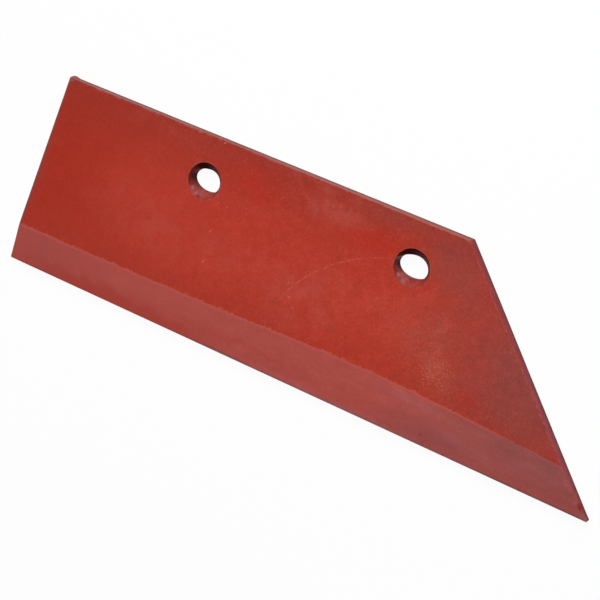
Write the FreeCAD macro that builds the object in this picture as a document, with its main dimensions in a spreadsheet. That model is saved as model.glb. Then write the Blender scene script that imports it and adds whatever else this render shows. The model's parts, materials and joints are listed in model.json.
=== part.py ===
# Plough share for a mouldboard plough: one flat steel plate with a ground bevel along its
# cutting edge, a slanted point end and two countersunk bolt slots.
#
# Frame: the plate lies on its back face at Z = 0, with the bevel and the countersinks facing up.
# +X runs along the cutting edge from the heel to the point, and +Y from the cutting edge to the
# top edge. The origin is on the back face, midway between the two bolt slots.
import FreeCAD, Part
import math
import os

import Sketcher

OUTPUT_FOLDER = "parts"
SHARE_NODE = "share"

# Driving sizes: alias, value in millimetres or degrees, meaning.
SIZES = (
    ("edge_length", 457.0, "cutting edge, heel corner to tip"),
    ("plate_width", 140.0, "cutting edge to top edge"),
    ("plate_thickness", 10.0, "back face to front face"),
    ("heel_angle", 85.0, "angle inside the heel corner"),
    ("point_angle", 47.0, "angle inside the tip"),
    ("slot_from_corner", 31.0, "top corner of the slanted end to the near slot centre, along X"),
    ("slot_from_top", 31.0, "top edge to slot centres"),
    ("slot_spacing", 160.0, "centre to centre of the two slots"),
    ("slot_length", 22.5, "slot end to end, along the plate"),
    ("slot_width", 14.5, "slot side to side, with room for the bolt's 12 mm square neck"),
    ("sink_diameter", 25.0, "countersink mouth, the bolt head's diameter"),
    ("sink_angle", 80.0, "included angle of the countersink, as on a plough bolt's head"),
    ("bevel_drop", 4.0, "depth of the bevel at the cutting edge"),
    ("bevel_at_heel", 28.0, "bevel width at the heel end"),
    ("bevel_at_quarter", 29.5, "bevel width a quarter of the way to the point"),
    ("bevel_at_middle", 32.2, "bevel width halfway to the point"),
    ("bevel_at_shoulder", 32.6, "bevel width three quarters of the way to the point"),
    ("bevel_at_point", 24.0, "bevel width at the point end"),
    ("tip_round", 0.6, "corner radius of the tip, in plan"),
    ("top_heel_round", 2.0, "corner radius where the top edge meets the heel end"),
    ("corner_round", 1.0, "radius of the other two corners, in plan"),
    ("arris_round", 0.4, "radius of the long arrises of the front and back faces"),
    ("overcut", 3.0, "how far a cutting profile stands clear of the plate"),
)

# Places along X that follow from the sizes: the slanted end's top corner, the tip and the heel.
TOP_CORNER = "Sizes.slot_spacing / 2 + Sizes.slot_from_corner"
TIP = f"{TOP_CORNER} + Sizes.plate_width / tan(Sizes.point_angle * 1 deg)"
HEEL = f"{TIP} - Sizes.edge_length"

# Bevel sections from the heel end to the point end, evenly spaced along the cutting edge.
BEVEL_WIDTHS = (
    "bevel_at_heel",
    "bevel_at_quarter",
    "bevel_at_middle",
    "bevel_at_shoulder",
    "bevel_at_point",
)

SLOT_COUNT = 2
CORNER_COUNT = 4
TOLERANCE = 1e-4


def fill_sheet(document):
    """Write the driving sizes, one row each, and give every value its alias."""
    sheet = document.addObject("Spreadsheet::Sheet", "Sizes")
    for row, (alias, value, meaning) in enumerate(SIZES, start=1):
        sheet.set(f"A{row}", alias)
        sheet.set(f"B{row}", str(value))
        sheet.set(f"C{row}", meaning)
        sheet.setAlias(f"B{row}", alias)
    document.recompute()
    return sheet


def origin_feature(body, role):
    """Return the body's own origin plane or axis with the given role."""
    return next(item for item in body.Origin.OriginFeatures if item.Role == role)


def attached_sketch(body, name, role, offset=None):
    """Make a sketch on one of the body's origin planes, lifted by an expression if one is given."""
    sketch = body.newObject("Sketcher::SketchObject", name)
    sketch.AttachmentSupport = [(origin_feature(body, role), "")]
    sketch.MapMode = "FlatFace"
    if offset is not None:
        sketch.setExpression("AttachmentOffset.Base.z", offset)
    return sketch


def closed_loop(sketch, corners):
    """Draw straight lines from corner to corner, joined end to end."""
    points = [FreeCAD.Vector(x, y, 0.0) for x, y in corners]
    count = len(points)
    for index in range(count):
        sketch.addGeometry(Part.LineSegment(points[index], points[(index + 1) % count]), False)
    for index in range(count):
        sketch.addConstraint(Sketcher.Constraint("Coincident", index, 2, (index + 1) % count, 1))


def drive(sketch, name, expression, kind, *places):
    """Add a named dimension and bind it to the sheet."""
    index = sketch.addConstraint(Sketcher.Constraint(kind, *places))
    sketch.renameConstraint(index, name)
    sketch.setExpression(f"Constraints.{name}", expression)


def share_outline(body, sizes):
    """Plan of the plate: cutting edge, slanted point end, top edge and leaning heel end."""
    sketch = attached_sketch(body, "Outline", "XY_Plane")
    top_corner_x = sizes["slot_spacing"] / 2 + sizes["slot_from_corner"]
    edge_y = sizes["slot_from_top"] - sizes["plate_width"]
    tip_x = top_corner_x + sizes["plate_width"] / math.tan(math.radians(sizes["point_angle"]))
    heel_x = tip_x - sizes["edge_length"]
    heel_run = sizes["plate_width"] / math.tan(math.radians(sizes["heel_angle"]))
    closed_loop(sketch, (
        (heel_x, edge_y),
        (tip_x, edge_y),
        (top_corner_x, sizes["slot_from_top"]),
        (heel_x + heel_run, sizes["slot_from_top"]),
    ))
    cutting_edge, point_end, top_edge, heel_end = range(4)
    sketch.addConstraint(Sketcher.Constraint("Horizontal", cutting_edge))
    sketch.addConstraint(Sketcher.Constraint("Horizontal", top_edge))
    drive(sketch, "edge_length", "Sizes.edge_length",
          "DistanceX", cutting_edge, 1, cutting_edge, 2, sizes["edge_length"])
    drive(sketch, "corner_reach", TOP_CORNER,
          "DistanceX", -1, 1, top_edge, 1, top_corner_x)
    drive(sketch, "top_reach", "Sizes.slot_from_top",
          "DistanceY", -1, 1, top_edge, 1, sizes["slot_from_top"])
    drive(sketch, "plate_width", "Sizes.plate_width",
          "DistanceY", cutting_edge, 1, top_edge, 2, sizes["plate_width"])
    drive(sketch, "heel_angle", "Sizes.heel_angle",
          "Angle", cutting_edge, 1, heel_end, 2, math.radians(sizes["heel_angle"]))
    drive(sketch, "point_angle", "Sizes.point_angle",
          "Angle", point_end, 1, cutting_edge, 2, math.radians(sizes["point_angle"]))
    return sketch


def upright_edges(shape):
    """Each upright straight edge of a shape, as its name and its place in plan."""
    for number, edge in enumerate(shape.Edges, start=1):
        start, end = edge.Vertexes[0].Point, edge.Vertexes[-1].Point
        if math.hypot(start.x - end.x, start.y - end.y) < TOLERANCE:
            yield f"Edge{number}", (start.x, start.y)


def plate_corners(plate):
    """Plan positions of the plate's corners: heel, top heel, top point and tip, along X."""
    corners = sorted(place for _, place in upright_edges(plate.Shape))
    if len(corners) != CORNER_COUNT:
        raise RuntimeError(f"the plate has {len(corners)} corners, not {CORNER_COUNT}")
    return corners


def upright_at(feature, corner):
    """Name of the feature's upright edge that stands on a corner."""
    for name, place in upright_edges(feature.Shape):
        if math.dist(place, corner) < TOLERANCE:
            return name
    raise RuntimeError(f"{feature.Label} has no upright edge at {corner}")


def face_rim(shape, height):
    """Names of the edges that lie in the horizontal plane at the given height."""
    names = []
    for number, edge in enumerate(shape.Edges, start=1):
        box = edge.BoundBox
        if abs(box.ZMin - height) < TOLERANCE and abs(box.ZMax - height) < TOLERANCE:
            names.append(f"Edge{number}")
    return names


def round_edges(body, name, base, edges, radius):
    """Round the named edges of a feature."""
    fillet = body.newObject("PartDesign::Fillet", name)
    fillet.Base = (base, edges)
    fillet.setExpression("Radius", f"Sizes.{radius}")
    body.Document.recompute()
    return fillet


def bevel_section(body, number, width, sizes):
    """Triangle across the plate whose long side is the bevel's slope at one station."""
    last = len(BEVEL_WIDTHS) - 1
    step = f"(Sizes.edge_length + 2 * Sizes.overcut) * {number} / {last}"
    station = f"{HEEL} - Sizes.overcut + {step}"
    sketch = attached_sketch(body, f"BevelSection{number + 1}", "YZ_Plane", station)
    slope = sizes["bevel_drop"] / sizes[width]
    toe_y = sizes["slot_from_top"] - sizes["plate_width"] - sizes["overcut"]
    toe_z = sizes["plate_thickness"] - sizes["bevel_drop"] - sizes["overcut"] * slope
    head_z = sizes["plate_thickness"] + sizes["overcut"]
    span = (head_z - toe_z) / slope
    closed_loop(sketch, ((toe_y, toe_z), (toe_y, head_z), (toe_y + span, head_z)))
    back, lid, slant = range(3)
    sketch.addConstraint(Sketcher.Constraint("Vertical", back))
    sketch.addConstraint(Sketcher.Constraint("Horizontal", lid))
    drive(sketch, "toe_reach", "Sizes.plate_width - Sizes.slot_from_top + Sizes.overcut",
          "DistanceX", back, 1, -1, 1, -toe_y)
    drive(sketch, "toe_height",
          "Sizes.plate_thickness - Sizes.bevel_drop"
          f" - Sizes.overcut * Sizes.bevel_drop / Sizes.{width}",
          "DistanceY", -1, 1, back, 1, toe_z)
    drive(sketch, "head_height", "Sizes.plate_thickness + Sizes.overcut",
          "DistanceY", -1, 1, slant, 1, head_z)
    drive(sketch, "span",
          f"Sizes.overcut + Sizes.{width} * (1 + Sizes.overcut / Sizes.bevel_drop)",
          "DistanceX", lid, 1, lid, 2, span)
    return sketch


def ground_bevel(body, sizes):
    """Cut the bevel, bowed as hand grinding leaves it, widest between the middle and the point."""
    sections = [
        bevel_section(body, number, width, sizes) for number, width in enumerate(BEVEL_WIDTHS)
    ]
    body.Document.recompute()
    bevel = body.newObject("PartDesign::SubtractiveLoft", "GroundBevel")
    bevel.Profile = sections[0]
    bevel.Sections = sections[1:]
    bevel.Ruled = False
    body.Document.recompute()
    return bevel


def countersunk_hole(body, sizes):
    """Drill the first hole from the front face and sink it for the bolt's conical head."""
    sketch = attached_sketch(body, "HoleCentre", "XY_Plane", "Sizes.plate_thickness")
    centre = FreeCAD.Vector(-sizes["slot_spacing"] / 2, 0.0, 0.0)
    circle = sketch.addGeometry(
        Part.Circle(centre, FreeCAD.Vector(0.0, 0.0, 1.0), sizes["slot_width"] / 2), False
    )
    sketch.addConstraint(Sketcher.Constraint("PointOnObject", circle, 3, -1))
    drive(sketch, "offset", "Sizes.slot_spacing / 2",
          "DistanceX", circle, 3, -1, 1, -centre.x)
    drive(sketch, "bore", "Sizes.slot_width", "Diameter", circle, sizes["slot_width"])
    body.Document.recompute()
    hole = body.newObject("PartDesign::Hole", "CountersunkHole")
    hole.Profile = sketch
    body.Document.recompute()
    hole.DepthType = "ThroughAll"
    hole.HoleCutType = "Countersink"
    hole.HoleCutCustomValues = True
    hole.setExpression("Diameter", "Sizes.slot_width")
    hole.setExpression("HoleCutDiameter", "Sizes.sink_diameter")
    hole.setExpression("HoleCutCountersinkAngle", "Sizes.sink_angle")
    body.Document.recompute()
    return hole


def bolt_slot(body, sizes):
    """Lengthen the first hole to a slot along the plate, with full round ends."""
    sketch = attached_sketch(body, "SlotOutline", "XY_Plane", "Sizes.plate_thickness")
    middle = -sizes["slot_spacing"] / 2
    radius = sizes["slot_width"] / 2
    reach = sizes["slot_length"] / 2 - radius
    up = FreeCAD.Vector(0.0, 0.0, 1.0)
    right = Part.Circle(FreeCAD.Vector(middle + reach, 0.0, 0.0), up, radius)
    left = Part.Circle(FreeCAD.Vector(middle - reach, 0.0, 0.0), up, radius)
    right_end = sketch.addGeometry(Part.ArcOfCircle(right, -math.pi / 2, math.pi / 2), False)
    left_end = sketch.addGeometry(Part.ArcOfCircle(left, math.pi / 2, 3 * math.pi / 2), False)
    upper = sketch.addGeometry(Part.LineSegment(
        FreeCAD.Vector(middle + reach, radius, 0.0), FreeCAD.Vector(middle - reach, radius, 0.0)
    ), False)
    lower = sketch.addGeometry(Part.LineSegment(
        FreeCAD.Vector(middle - reach, -radius, 0.0), FreeCAD.Vector(middle + reach, -radius, 0.0)
    ), False)
    sketch.addConstraint(Sketcher.Constraint("Tangent", right_end, 2, upper, 1))
    sketch.addConstraint(Sketcher.Constraint("Tangent", upper, 2, left_end, 1))
    sketch.addConstraint(Sketcher.Constraint("Tangent", left_end, 2, lower, 1))
    sketch.addConstraint(Sketcher.Constraint("Tangent", lower, 2, right_end, 1))
    sketch.addConstraint(Sketcher.Constraint("Equal", right_end, left_end))
    sketch.addConstraint(Sketcher.Constraint("PointOnObject", right_end, 3, -1))
    sketch.addConstraint(Sketcher.Constraint("PointOnObject", left_end, 3, -1))
    drive(sketch, "end_radius", "Sizes.slot_width / 2", "Radius", right_end, radius)
    drive(sketch, "centres", "Sizes.slot_length - Sizes.slot_width",
          "DistanceX", left_end, 3, right_end, 3, 2 * reach)
    drive(sketch, "far_end",
          "Sizes.slot_spacing / 2 + Sizes.slot_length / 2 - Sizes.slot_width / 2",
          "DistanceX", left_end, 3, -1, 1, reach - middle)
    body.Document.recompute()
    pocket = body.newObject("PartDesign::Pocket", "BoltSlot")
    pocket.Profile = sketch
    pocket.Type = "ThroughAll"
    body.Document.recompute()
    return pocket


def repeat_along_plate(body, features):
    """Repeat the countersunk slot at the second bolt's place."""
    pattern = body.newObject("PartDesign::LinearPattern", "SlotPair")
    pattern.Originals = features
    pattern.Direction = (origin_feature(body, "X_Axis"), [""])
    pattern.Occurrences = SLOT_COUNT
    pattern.setExpression("Length", "Sizes.slot_spacing")
    body.Tip = pattern
    body.Document.recompute()
    return pattern


def require_cut(before, after):
    """Stop if a cutting feature has taken nothing away."""
    if after.Shape.Volume >= before.Shape.Volume - TOLERANCE:
        raise RuntimeError(f"{after.Label} removes no material")


def build_share(document, sizes):
    """Model the plate as one body: outline, rounds, bevel, then the pair of countersunk slots."""
    body = document.addObject("PartDesign::Body", "Share")
    body.Label = SHARE_NODE
    outline = share_outline(body, sizes)
    document.recompute()
    plate = body.newObject("PartDesign::Pad", "Plate")
    plate.Profile = outline
    plate.setExpression("Length", "Sizes.plate_thickness")
    document.recompute()

    heel, top_heel, top_point, tip = plate_corners(plate)
    tip_round = round_edges(body, "TipRound", plate, [upright_at(plate, tip)], "tip_round")
    top_heel_round = round_edges(
        body, "TopHeelRound", tip_round, [upright_at(tip_round, top_heel)], "top_heel_round"
    )
    corners = [upright_at(top_heel_round, corner) for corner in (heel, top_point)]
    corner_round = round_edges(body, "CornerRound", top_heel_round, corners, "corner_round")
    arrises = face_rim(corner_round.Shape, 0.0)
    arrises += face_rim(corner_round.Shape, sizes["plate_thickness"])
    arris_round = round_edges(body, "ArrisRound", corner_round, arrises, "arris_round")

    bevel = ground_bevel(body, sizes)
    require_cut(arris_round, bevel)
    hole = countersunk_hole(body, sizes)
    require_cut(bevel, hole)
    slot = bolt_slot(body, sizes)
    require_cut(hole, slot)
    pair = repeat_along_plate(body, [hole, slot])
    require_cut(slot, pair)
    return body


def check_document(document):
    """Stop if any object of the document failed to compute."""
    for item in document.Objects:
        if "Invalid" in item.State or "Error" in item.State:
            raise RuntimeError(f"{item.Label} failed: {item.State}")


def export_solid(body):
    """Check the body's shape and write it under its own label."""
    shape = body.Shape
    if shape.isNull() or not shape.isValid() or len(shape.Solids) != 1:
        raise RuntimeError(f"{body.Label} is not one valid solid")
    os.makedirs(OUTPUT_FOLDER, exist_ok=True)
    shape.exportStep(os.path.join(OUTPUT_FOLDER, f"{body.Label}.step"))
    box = shape.BoundBox
    print(f"{body.Label}: {box.XLength:.2f} x {box.YLength:.2f} x {box.ZLength:.2f} mm,"
          f" volume {shape.Volume / 1000:.2f} cm3")


def main():
    document = FreeCAD.newDocument("PloughShare")
    fill_sheet(document)
    sizes = {alias: value for alias, value, _ in SIZES}
    share = build_share(document, sizes)
    document.recompute()
    check_document(document)
    export_solid(share)


main()
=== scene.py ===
"""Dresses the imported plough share: a finely meshed plate with its ground bevel and
countersunk bolt slots, under a worn coat of red paint, in a plain pale studio.

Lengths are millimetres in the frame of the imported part, and become metres as each mesh is made.
"""

import json
import logging
import math
from collections.abc import Callable, Mapping
from dataclasses import dataclass, field
from enum import Enum
from typing import ClassVar

import bpy
from mathutils import Matrix, Vector, noise
from mathutils.geometry import delaunay_2d_cdt

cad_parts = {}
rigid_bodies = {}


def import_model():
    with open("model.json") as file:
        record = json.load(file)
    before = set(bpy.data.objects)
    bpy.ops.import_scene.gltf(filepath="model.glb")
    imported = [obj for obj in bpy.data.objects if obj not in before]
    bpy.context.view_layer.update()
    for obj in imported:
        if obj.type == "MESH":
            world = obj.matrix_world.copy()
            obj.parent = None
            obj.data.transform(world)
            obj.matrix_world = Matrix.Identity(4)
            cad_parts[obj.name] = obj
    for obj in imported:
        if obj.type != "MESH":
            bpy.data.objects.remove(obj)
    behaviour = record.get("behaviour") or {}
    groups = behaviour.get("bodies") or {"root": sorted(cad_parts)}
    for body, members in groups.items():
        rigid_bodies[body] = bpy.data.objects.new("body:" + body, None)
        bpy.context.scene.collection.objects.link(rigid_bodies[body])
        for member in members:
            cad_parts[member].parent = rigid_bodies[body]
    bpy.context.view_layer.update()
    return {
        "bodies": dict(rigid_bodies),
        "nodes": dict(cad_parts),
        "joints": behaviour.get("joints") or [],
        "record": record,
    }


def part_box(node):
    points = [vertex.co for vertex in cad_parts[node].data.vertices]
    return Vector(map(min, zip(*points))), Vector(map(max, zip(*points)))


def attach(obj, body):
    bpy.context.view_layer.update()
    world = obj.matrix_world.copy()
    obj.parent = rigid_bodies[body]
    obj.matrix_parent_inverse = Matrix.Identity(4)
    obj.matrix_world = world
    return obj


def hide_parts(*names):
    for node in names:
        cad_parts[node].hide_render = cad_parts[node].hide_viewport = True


MM = 0.001
SHARE_NODE = "share"
BODY = "root"

log = logging.getLogger("plough_share")

Point2 = tuple[float, float]
Point3 = tuple[float, float, float]
Colour = tuple[float, float, float]
Loop = list[int]
Reach = Callable[[float], float]
Surface = Callable[[float, float], float]
Socket = bpy.types.NodeSocket
Value = Socket | float | Point3


class Region(Enum):
    """The parts of the plate's skin, numbered as its material slots."""

    FRONT = 0
    BEVEL = 1
    EDGE = 2
    SEAT = 3
    BACK = 4


Chooser = Callable[[float, float], Region]


def only(region: Region) -> Chooser:
    """Chooses one region at every place."""
    return lambda x, y: region


class MarkKind(Enum):
    """What a mark does to the coat of paint, or what light, shade or sheen it paints there: each value is
    the name of the coat's colour for it.
    """

    # Fresher, redder paint; in the countersinks, painted light on the lower walls that face the lamp; on
    # the bevel, redder paint where its painted sheen is weaker.
    FRESH = "fresh"
    # Painted light: pools of light and sheen on the front and the bevel, and the lit lower walls of the
    # countersinks.
    BLOOM = "bloom"
    DULL = "dull"
    # Dirt and smudges on the front and the edges; in the countersinks, painted shade on the upper and
    # heel-side walls.
    GRIME = "grime"
    # Worn-through steel along the heel; in a slot, a painted glint on its steel.
    BARE = "bare"
    # Chips in the paint; in the countersinks, painted highlights on the lit lower walls.
    CHIP = "chip"
    SPECK = "speck"


@dataclass(frozen=True)
class Mark:
    """One soft oval mark in the paint, as seen on the front of the plate.

    Attributes:
        kind: What it does to the paint.
        x: Its middle along the plate.
        y: Its middle across the plate.
        length: Its full length.
        width: Its full width.
        turn: Degrees from +X to its length.
        strength: How much it shows in its middle, from 0 to 1.
        ragged: Share of its length in which its rim fades, up to a half.
    """

    kind: MarkKind
    x: float
    y: float
    length: float
    width: float
    turn: float = 0.0
    strength: float = 1.0
    ragged: float = 0.35


@dataclass(frozen=True)
class Scratch:
    """One thin scratch along an arc about a centre, from its start to its end."""

    centre: Point2
    radius: float
    start: Point2
    end: Point2
    width: float
    strength: float


@dataclass
class Skin:
    """Points and faces of the plate's skin, gathered loop by loop."""

    points: list[Point3] = field(default_factory=list)
    faces: list[tuple[int, ...]] = field(default_factory=list)
    regions: list[Region] = field(default_factory=list)
    creases: set[frozenset[int]] = field(default_factory=set)
    weld: ClassVar[float] = 1e-7

    def add_loop(self, points: list[Point3]) -> Loop:
        """Adds points and gives their numbers.

        Args:
            points: Places in millimetres.

        Returns:
            The number of each point in the skin.
        """
        first = len(self.points)
        self.points.extend(points)
        return list(range(first, first + len(points)))

    def add_face(self, face: tuple[int, ...], region: Region) -> None:
        """Adds one face, whose point numbers run anticlockwise as seen from outside, to a region."""
        self.faces.append(face)
        self.regions.append(region)

    def extend(self, last: Loop, points: list[Point3], region_of: Chooser) -> Loop:
        """Adds a closed loop and joins the one before to it with a band of four-sided faces.

        Args:
            last: The loop before, with as many points, anticlockwise as seen from the front.
            points: Places of the new loop's points.
            region_of: Gives the region of a face, from the x and y of its first corner.

        Returns:
            The new loop.
        """
        loop = self.add_loop(points)
        count = len(last)
        for i in range(count):
            j = (i + 1) % count
            x, y, _ = self.points[last[i]]
            self.add_face((last[i], last[j], loop[j], loop[i]), region_of(x, y))
        return loop

    def crease(self, chain: Loop) -> None:
        """Marks the edges along a chain of points as sharp."""
        self.creases.update(frozenset(pair) for pair in zip(chain, chain[1:]))

    def fill(
        self,
        outline: Loop,
        openings: list[Loop],
        line: Loop,
        spots: Loop,
        is_solid: Callable[[float, float], bool],
        region_of: Chooser,
        faces_up: bool,
    ) -> None:
        """Fills a flat field of the skin with triangles between its loops.

        Args:
            outline: The loop round the field.
            openings: The loops of its holes.
            line: An open chain of points that the triangles keep to, such as the bevel's top line.
            spots: Loose points inside the field.
            is_solid: Says whether a triangle's middle lies on the plate, from x and y.
            region_of: Gives the region of a triangle, from the x and y of its middle.
            faces_up: Whether the field faces the front.
        """
        numbers, edges = [], []
        for loop in [outline] + openings:
            start, count = len(numbers), len(loop)
            numbers.extend(loop)
            edges.extend((start + i, start + (i + 1) % count) for i in range(count))
        places = {number: i for i, number in enumerate(numbers)}
        for number in line:
            if number not in places:
                places[number] = len(numbers)
                numbers.append(number)
        edges.extend((places[a], places[b]) for a, b in zip(line, line[1:]))
        numbers.extend(spots)
        flat = [Vector(self.points[n][:2]) for n in numbers]
        nodes, _, faces, sources, _, _ = delaunay_2d_cdt(flat, edges, [], 1, self.weld, True)
        known = [numbers[source[0]] if source else None for source in sources]
        for face in faces:
            corners = [known[i] for i in face]
            if None in corners:
                raise ValueError("a loop of the plate crosses another one")
            a, b, c = (nodes[i] for i in face)
            middle = sum((a, b, c), Vector((0.0, 0.0))) / 3
            if is_solid(middle.x, middle.y):
                if ((b - a).cross(c - a) > 0) != faces_up:
                    corners.reverse()
                self.add_face(tuple(corners), region_of(middle.x, middle.y))
        self.crease(line)

    def to_object(self, name: str, crease_angle: float) -> bpy.types.Object:
        """Makes the Blender object of the skin, with smooth shading between its sharp edges.

        Args:
            name: The name of the object and its mesh.
            crease_angle: Edges that turn by more than this, in degrees, are sharp.

        Returns:
            The new object, linked to the scene.
        """
        mesh = bpy.data.meshes.new(name)
        mesh.from_pydata([tuple(c * MM for c in p) for p in self.points], [], self.faces)
        mesh.polygons.foreach_set("material_index", [region.value for region in self.regions])
        mesh.polygons.foreach_set("use_smooth", [True] * len(self.faces))
        mesh.set_sharp_from_angle(angle=math.radians(crease_angle))
        for edge in mesh.edges:
            if frozenset(edge.vertices) in self.creases:
                edge.use_edge_sharp = True
        mesh.validate()
        mesh.update()
        piece = bpy.data.objects.new(name, mesh)
        bpy.context.scene.collection.objects.link(piece)
        return piece


@dataclass
class BoltSeat:
    """One bolt slot with its countersink, about an upright axis through the plate.

    Wear has made the slot longer and wider by the worn sizes, and its shift moves it. The faces
    round an opening leave out each triangle whose middle lies inside its open share.
    """

    centre: Point2
    slot_length: float
    slot_width: float
    slot_shift: Point2 = (0.0, 0.0)
    worn_length: float = 0.4
    worn_width: float = 0.9
    sink_diameter: float = 25.0
    sink_angle: float = 80.0
    rim_round: float = 0.5
    rim_shares: tuple[float, ...] = (0.45, 0.8, 1.0)
    back_round: float = 0.25
    back_turns: Point2 = (45.0, 90.0)
    ways: int = 120
    cone_steps: int = 6
    wall_steps: int = 6
    open_share: float = 0.9985

    def slot_reach(self, bearing: float) -> float:
        """Distance from the countersink's axis to the slot's wall, which wear has left oval.

        Args:
            bearing: Direction from the axis, in radians from +X.

        Returns:
            The distance in millimetres.
        """
        along = ((self.slot_length + self.worn_length) / 2) ** 2
        across = ((self.slot_width + self.worn_width) / 2) ** 2
        dx, dy = self.slot_shift
        c, s = math.cos(bearing), math.sin(bearing)
        square = c * c / along + s * s / across
        linear = c * dx / along + s * dy / across
        rest = dx * dx / along + dy * dy / across - 1
        return (linear + math.sqrt(linear * linear - square * rest)) / square

    @property
    def rim_turn(self) -> float:
        """Angle from the front face down to the cone, in radians."""
        return math.radians(90 - self.sink_angle / 2)

    def rim_reach(self, clear: float = 0.0) -> float:
        """Radius at which the countersink's small round starts, with any clear space."""
        return self.sink_diameter / 2 + self.rim_round * math.tan(self.rim_turn / 2) + clear

    def covers(self, x: float, y: float, at_front: bool) -> bool:
        """Says whether a place on the front or back lies in the opening.

        Args:
            x: Place along the plate.
            y: Place across the plate.
            at_front: Whether the front's opening is meant.

        Returns:
            True in the opening.
        """
        dx, dy = x - self.centre[0], y - self.centre[1]
        reach = self.rim_reach() if at_front else self.slot_reach(math.atan2(dy, dx)) + self.back_round
        return math.hypot(dx, dy) < reach * self.open_share

    def ring(self, height: Reach, reach: Reach, count: int | None = None) -> list[Point3]:
        """One loop of points about the axis.

        Args:
            height: Gives the loop's height, from the bearing.
            reach: Gives its distance from the axis, from the bearing.
            count: The number of points, or None for the seat's own.

        Returns:
            The loop's points, anticlockwise as seen from the front.
        """
        count = count or self.ways
        x, y = self.centre
        loop = []
        for i in range(count):
            bearing = 2 * math.pi * i / count
            r = reach(bearing)
            loop.append((x + r * math.cos(bearing), y + r * math.sin(bearing), height(bearing)))
        return loop

    def build(self, skin: Skin, front_height: Surface, thickness: float) -> tuple[Loop, Loop]:
        """Adds the countersink and the slot's walls to the skin.

        Args:
            skin: The skin that they belong to.
            front_height: Gives the height of the front face, from x and y.
            thickness: Thickness of the plate.

        Returns:
            The loop on the front face and the loop on the back face.
        """
        mouth = self.sink_diameter / 2
        slope = math.tan(math.radians(self.sink_angle / 2))

        def fall(bearing: float) -> float:
            """Depth at which the cone meets the slot's wall."""
            return (mouth - self.slot_reach(bearing)) / slope

        rim = self.ring(lambda _: thickness, lambda _: self.rim_reach())
        front = last = skin.add_loop([(x, y, front_height(x, y)) for x, y, _ in rim])
        for share in self.rim_shares:
            turn = share * self.rim_turn
            drop = self.rim_round * (1 - math.cos(turn))
            start = self.rim_reach() - self.rim_round * math.sin(turn)
            loop = self.ring(lambda _: thickness - drop, lambda _: start)
            last = skin.extend(last, loop, only(Region.SEAT))
        for step in range(1, self.cone_steps + 1):
            share = step / self.cone_steps
            loop = self.ring(
                lambda bearing: thickness - drop - share * (fall(bearing) - drop),
                lambda bearing: start + share * (self.slot_reach(bearing) - start),
            )
            last = skin.extend(last, loop, only(Region.SEAT))
        skin.crease(last + last[:1])
        for step in range(1, self.wall_steps + 1):
            share = step / self.wall_steps
            loop = self.ring(
                lambda bearing: (thickness - fall(bearing)) * (1 - share) + self.back_round * share,
                self.slot_reach,
            )
            last = skin.extend(last, loop, only(Region.SEAT))
        for degrees in self.back_turns:
            height = self.back_round * (1 - math.sin(math.radians(degrees)))
            out = self.back_round * (1 - math.cos(math.radians(degrees)))
            loop = self.ring(lambda _: height, lambda bearing: self.slot_reach(bearing) + out)
            last = skin.extend(last, loop, only(Region.SEAT))
        return front, last


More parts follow.
